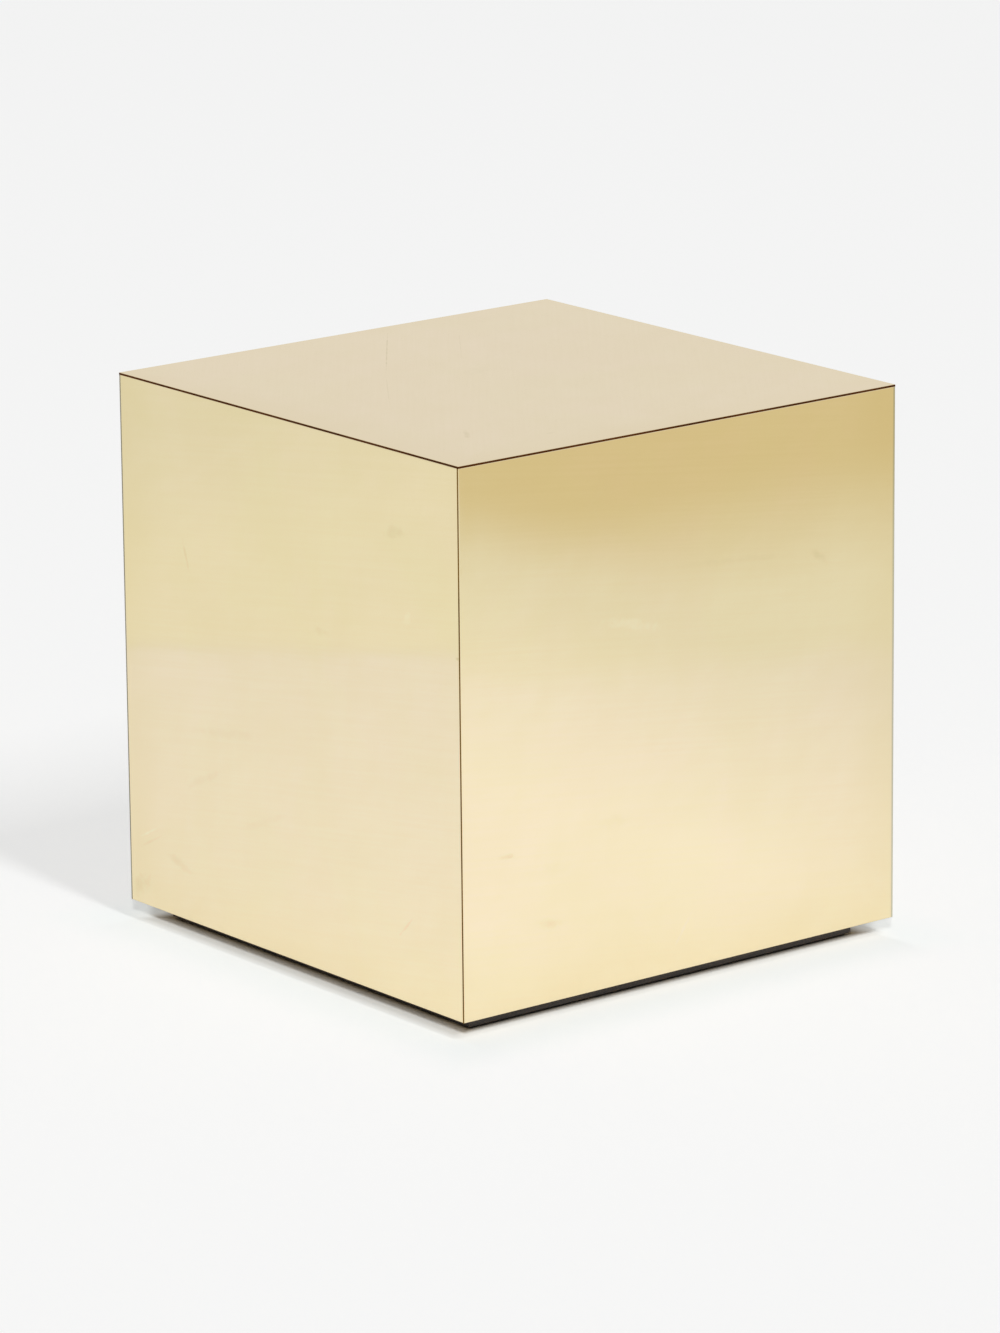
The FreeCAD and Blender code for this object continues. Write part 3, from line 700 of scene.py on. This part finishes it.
def build_object():
    for number, face in enumerate(("front", "right", "back", "left", "top")):
        brass_sheet(face, 2.7 + 5.3 * number)
        dress(f"{face}_laminate_core", phenolic_material(f"{face}_laminate_core", number))
        dress(f"{face}_panel", fibreboard_material(f"{face}_panel", number))
    dress("base_panel", fibreboard_material("base_panel", 6))
    for number, side in enumerate(SIDES):
        axis = "X" if side in ("front", "back") else "Y"
        cleat = f"{side}_base_cleat"
        dress(cleat, timber_material(cleat, number, PINE_PALE, PINE_DARK, 60.0, axis))
        rail = f"{side}_plinth_rail"
        dress(rail, plinth_paint_material(rail, number))
    for number, corner in enumerate(CORNERS):
        block = f"{corner}_corner_block"
        dress(block, timber_material(block, 7 + number, PINE_PALE, PINE_DARK, 60.0, "Z"))
        felt_pad(corner, number)
    dress("corner_dowels", timber_material("corner_dowels", 13, BEECH_PALE, BEECH_DARK, 120.0, "X"))
    dress("top_dowels", timber_material("top_dowels", 14, BEECH_PALE, BEECH_DARK, 120.0, "Z"))
    for number, screws in enumerate(("plinth_screws", "base_screws", "cleat_screws")):
        dress(screws, zinc_material(screws, number))


# ---------------------------------------------------------------- studio

FLOOR_PALE = (0.940, 0.942, 0.940)
FLOOR_GLOW = 0.372
# Takes back some of the red that the brass throws on the floor at its foot.
FLOOR_BY_BRASS = (0.955, 0.990, 0.985)
SKY_OVERHEAD = 0.10
WORLD_IN_BRASS = (0.805, 0.773, 0.737)
WORLD_SEEN = (0.915, 0.918, 0.918)

# The lamps stand so far off that the table is lit evenly from front to back.
LAMP_DISTANCE = 200.0
# Each lamp: degrees from straight ahead, degrees up, degrees wide, degrees tall, light it throws.
LAMPS = {
    "key": (-38.2, 33.0, 5.0, 6.0, 2.27),
    "second": (-3.7, 50.0, 5.7, 20.0, 0.68),
}


def reflected_first(tree):
    """The light path, and a mask: 1 for what the camera sees in the brass, 0 for other light."""
    path = tree.add("ShaderNodeLightPath")
    direct = tree.calc("SUBTRACT", 1.0, path.outputs["Diffuse Depth"], clamp=True)
    return path, tree.calc("MULTIPLY", path.outputs["Is Glossy Ray"], direct)


# The floor's tones as the brass sees them: the sheet itself, the room past its left edge,
# the room in front, and a brown wall beyond that.
SHEET_TONE = (1.005, 1.0, 1.035)
LEFT_ROOM = (1.004, 1.004, 0.928)
FRONT_ROOM = (0.978, 0.978, 0.925)
BROWN_WALL = (0.780, 0.700, 0.490)
# The level direction square to the sheet's left edge.
ACROSS_SHEET = (0.785, -0.619, 0)


def floor_in_brass(tree):
    """The floor's colour in reflections: a pale sheet, dimmer to the back and right, in a room."""
    x = tree.dot(tree.place, (1, 0, 0))
    y = tree.dot(tree.place, (0, 1, 0))
    # Brightest in front, and dimmer to the back and the right.
    level = tree.times(
        tree.span(y, -0.25, 0.0, 1.079, 1.016, smooth=False),
        tree.span(y, 0.0, 0.9, 1.0, 0.925, smooth=False),
        tree.span(y, 1.1, 1.5, 1.0, 0.94, smooth=False),
        tree.span(x, 0.23, 0.66, 1.0, 0.8625, smooth=False),
    )
    # The sheet's left edge wanders a little, with a dull lip along it.
    wander = tree.calc("SUBTRACT", tree.noise(tree.place, 1.7, 2.0), 0.5)
    from_left = tree.dot(tree.place, ACROSS_SHEET)
    from_left = tree.calc("ADD", from_left, tree.times(wander, 0.12))
    tone = tree.mix(tree.span(from_left, -1.085, -1.062), LEFT_ROOM, SHEET_TONE)
    from_lip = tree.calc("ABSOLUTE", tree.calc("ADD", from_left, 1.082))
    lip = tree.span(from_lip, 0.0, 0.03, 0.965, 1.0)
    level = tree.times(level, lip)
    # Its front edge runs askew.
    slope = tree.times(tree.calc("SUBTRACT", x, 0.43), 0.41)
    border = tree.calc("SUBTRACT", tree.calc("ADD", y, tree.times(wander, 0.06)), slope)
    tone = tree.mix(tree.span(border, -1.02, -0.90), FRONT_ROOM, tone)
    # Close to the table the brass warms the floor.
    around = tree.calc("MAXIMUM", tree.calc("ABSOLUTE", x), tree.calc("ABSOLUTE", y))
    clear = tree.span(around, HALF + 0.03, HALF + 0.30)
    warm = tree.mix(clear, (0.965, 0.965, 0.925), (1.0, 1.0, 1.0))
    tone = tree.mix(1.0, tone, warm, "MULTIPLY")
    grey = tree.add("ShaderNodeVectorMath", operation="SCALE")
    tree.put(grey.inputs[0], tone)
    tree.put(grey.inputs["Scale"], level)
    wall = tree.times(
        tree.span(x, 0.64, 0.85),
        tree.span(y, -1.39, -1.06, 1.0, 0.0, smooth=False),
    )
    return tree.mix(wall, grey.outputs[0], BROWN_WALL)


def beyond_rails(tree, way):
    """How far the floor lies beyond the plinth's rails in one direction."""
    rail_face = -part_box("front_plinth_rail")[0].y
    return tree.calc("SUBTRACT", tree.dot(tree.place, way), rail_face)


def shadow_sides(tree):
    """A narrow band inside each side of the key's shadow."""
    heading, rise = (math.radians(angle) for angle in LAMPS["key"][:2])
    under_body = BODY_LOW_Z / math.tan(rise)
    start_x = -HALF - under_body * math.sin(heading)
    start_y = -HALF + under_body * math.cos(heading)
    across = tree.dot(tree.place, (math.cos(heading), math.sin(heading), 0))
    half_width = HALF * (abs(math.cos(heading)) + abs(math.sin(heading)))
    inside = tree.calc("SUBTRACT", half_width, tree.calc("ABSOLUTE", across))
    return tree.times(
        tree.span(inside, -1.5 * MM, 2.5 * MM),
        tree.span(inside, 8 * MM, 19 * MM, 1.0, 0.0),
        tree.span(tree.dot(tree.place, (1, 0, 0)), start_x - 2 * MM, start_x + 2 * MM),
        tree.span(tree.dot(tree.place, (0, 1, 0)), start_y - 2 * MM, start_y + 2 * MM),
    )


def glow_left(tree):
    """The share of the floor's glow left near the table, and how far out from the rails that is."""
    front = beyond_rails(tree, (0, -1, 0))
    left = beyond_rails(tree, (-1, 0, 0))
    near_side = tree.calc("MAXIMUM", front, left)
    right = beyond_rails(tree, (1, 0, 0))
    back = beyond_rails(tree, (0, 1, 0))
    far_side = tree.calc("MAXIMUM", right, back)
    furthest = tree.calc("MAXIMUM", near_side, far_side)

    # None under the body, and more with distance from the foot.
    by_front = tree.times(
        tree.span(front, -3 * MM, 4 * MM), tree.span(front, 4 * MM, 85 * MM, 0.76, 1.0)
    )
    by_left = tree.calc(
        "ADD",
        tree.span(left, -1 * MM, 6 * MM, 0.0, 0.38),
        tree.span(left, 12 * MM, 20 * MM, 0.0, 0.62),
    )
    by_left = tree.times(by_left, tree.span(left, 12 * MM, 85 * MM, 0.88, 1.0))
    behind = tree.span(far_side, 2 * MM, 21 * MM)
    share = tree.calc("MAXIMUM", tree.calc("MAXIMUM", by_front, by_left), behind)
    # More light comes round the two side corners, which shows under the overhang.
    close = tree.span(far_side, 65 * MM, 110 * MM, 1.0, 0.0)
    lift = tree.calc("ADD", 1.0, tree.times(shadow_sides(tree), close, 0.65))
    return tree.times(share, lift), furthest


def studio_floor():
    """A wide matt pale floor. It glows a little to fill the shadows, but not under the table."""
    reach = 30.0
    mesh = bmesh.new()
    cuts = 12
    bmesh.ops.create_grid(mesh, x_segments=cuts, y_segments=cuts, size=reach)
    data = bpy.data.meshes.new("studio_floor")
    mesh.to_mesh(data)
    mesh.free()
    floor = bpy.data.objects.new("studio_floor", data)
    bpy.context.scene.collection.objects.link(floor)

    tree = Tree(bpy.data.materials.new("studio_floor"))
    seen_in_brass = tree.mix(1.0, FLOOR_PALE, floor_in_brass(tree), "MULTIPLY")
    mottle = tree.noise(tree.place, 3.0, 4.0, 0.6)
    plain = tree.mix(mottle, tuple(c * 0.997 for c in FLOOR_PALE), FLOOR_PALE)
    share, furthest = glow_left(tree)
    cool = tree.mix(tree.span(furthest, 10 * MM, 90 * MM), FLOOR_BY_BRASS, (1.0, 1.0, 1.0))
    plain = tree.mix(1.0, plain, cool, "MULTIPLY")
    path, mirrored = reflected_first(tree)
    colour = tree.mix(mirrored, plain, seen_in_brass)
    matt = tree.add("ShaderNodeBsdfDiffuse")
    tree.put(matt.inputs["Color"], colour)
    glow = tree.add("ShaderNodeEmission")
    tree.put(glow.inputs["Color"], colour)
    tree.put(glow.inputs["Strength"], tree.times(share, FLOOR_GLOW))
    both = tree.add("ShaderNodeAddShader")
    tree.links.new(matt.outputs[0], both.inputs[0])
    tree.links.new(glow.outputs[0], both.inputs[1])
    out = tree.add("ShaderNodeOutputMaterial")
    tree.links.new(both.outputs[0], out.inputs["Surface"])
    tree.owner.cycles.emission_sampling = "NONE"
    data.materials.append(tree.owner)
    return floor


def studio_world():
    """Soft light, strongest from overhead. The brass and the camera see even tones instead."""
    world = bpy.data.worlds.new("studio")
    tree = Tree(world)
    height = tree.calc("MAXIMUM", tree.dot(tree.way, (0, 0, 1)), 0.0)
    level = tree.calc("MULTIPLY", tree.calc("MULTIPLY", height, height), SKY_OVERHEAD)
    light = tree.add("ShaderNodeCombineXYZ")
    for channel in range(3):
        tree.put(light.inputs[channel], level)
    path, mirrored = reflected_first(tree)
    sky = tree.mix(mirrored, light.outputs[0], WORLD_IN_BRASS)
    sky = tree.mix(path.outputs["Is Camera Ray"], sky, WORLD_SEEN)
    background = tree.add("ShaderNodeBackground")
    tree.put(background.inputs["Color"], sky)
    out = tree.add("ShaderNodeOutputWorld")
    tree.links.new(background.outputs[0], out.inputs["Surface"])
    bpy.context.scene.world = world


def studio_lamps():
    """Two soft lamps in front of the table. The key's shadow falls behind it, out of sight."""
    for name, (heading, rise, across, tall, strength) in LAMPS.items():
        lamp = bpy.data.lights.new(name, "AREA")
        lamp.shape = "RECTANGLE"
        lamp.size = LAMP_DISTANCE * math.radians(across)
        lamp.size_y = LAMP_DISTANCE * math.radians(tall)
        lamp.energy = strength * math.pi * LAMP_DISTANCE**2
        stand = bpy.data.objects.new(name, lamp)
        bpy.context.scene.collection.objects.link(stand)
        turn, lift = math.radians(heading), math.radians(rise)
        level = Vector((math.sin(turn), -math.cos(turn), 0.0)) * math.cos(lift)
        towards = level + Vector((0.0, 0.0, math.sin(lift)))
        stand.location = towards * LAMP_DISTANCE
        stand.rotation_mode = "QUATERNION"
        stand.rotation_quaternion = towards.to_track_quat("Z", "Y")
        stand.visible_glossy = False


# The camera stands to the front left, a little above the top, and far off with a long lens.
# Angles are in degrees, distances in sides of the cube, and the lens in mm.
VIEW_AZIMUTH = -38.32
VIEW_ELEVATION = 14.72
VIEW_ROLL = -0.561
VIEW_DISTANCE = 12.90
VIEW_ASIDE = -0.0133
VIEW_DOWN = -0.0380
LENS = 190.6


def camera():
    data = bpy.data.cameras.new("camera")
    data.sensor_fit = "AUTO"
    data.sensor_width = 36.0
    data.lens = LENS
    data.clip_start = 0.1
    data.clip_end = 60.0
    shot = bpy.data.objects.new("camera", data)
    bpy.context.scene.collection.objects.link(shot)
    a, e = math.radians(VIEW_AZIMUTH), math.radians(VIEW_ELEVATION)
    back = Vector((math.sin(a) * math.cos(e), -math.cos(a) * math.cos(e), math.sin(e)))
    level = Vector((0, 0, 1)).cross(back).normalized()
    upright = back.cross(level)
    roll = math.radians(VIEW_ROLL)
    right = level * math.cos(roll) + upright * math.sin(roll)
    up = upright * math.cos(roll) - level * math.sin(roll)
    target = Vector((0, 0, BODY_LOW_Z + HALF))
    offset = right * VIEW_ASIDE + up * VIEW_DOWN + back * VIEW_DISTANCE
    shot.location = target + offset * CUBE_SIDE
    turn = shot.matrix_world.to_3x3()
    turn.col[0], turn.col[1], turn.col[2] = right, up, back
    shot.rotation_mode = "QUATERNION"
    shot.rotation_quaternion = turn.to_quaternion()
    bpy.context.scene.camera = shot


build_object()
studio_floor()
studio_world()
studio_lamps()
camera()
bpy.context.scene.view_settings.view_transform = "Standard"
bpy.context.scene.view_settings.look = "None"
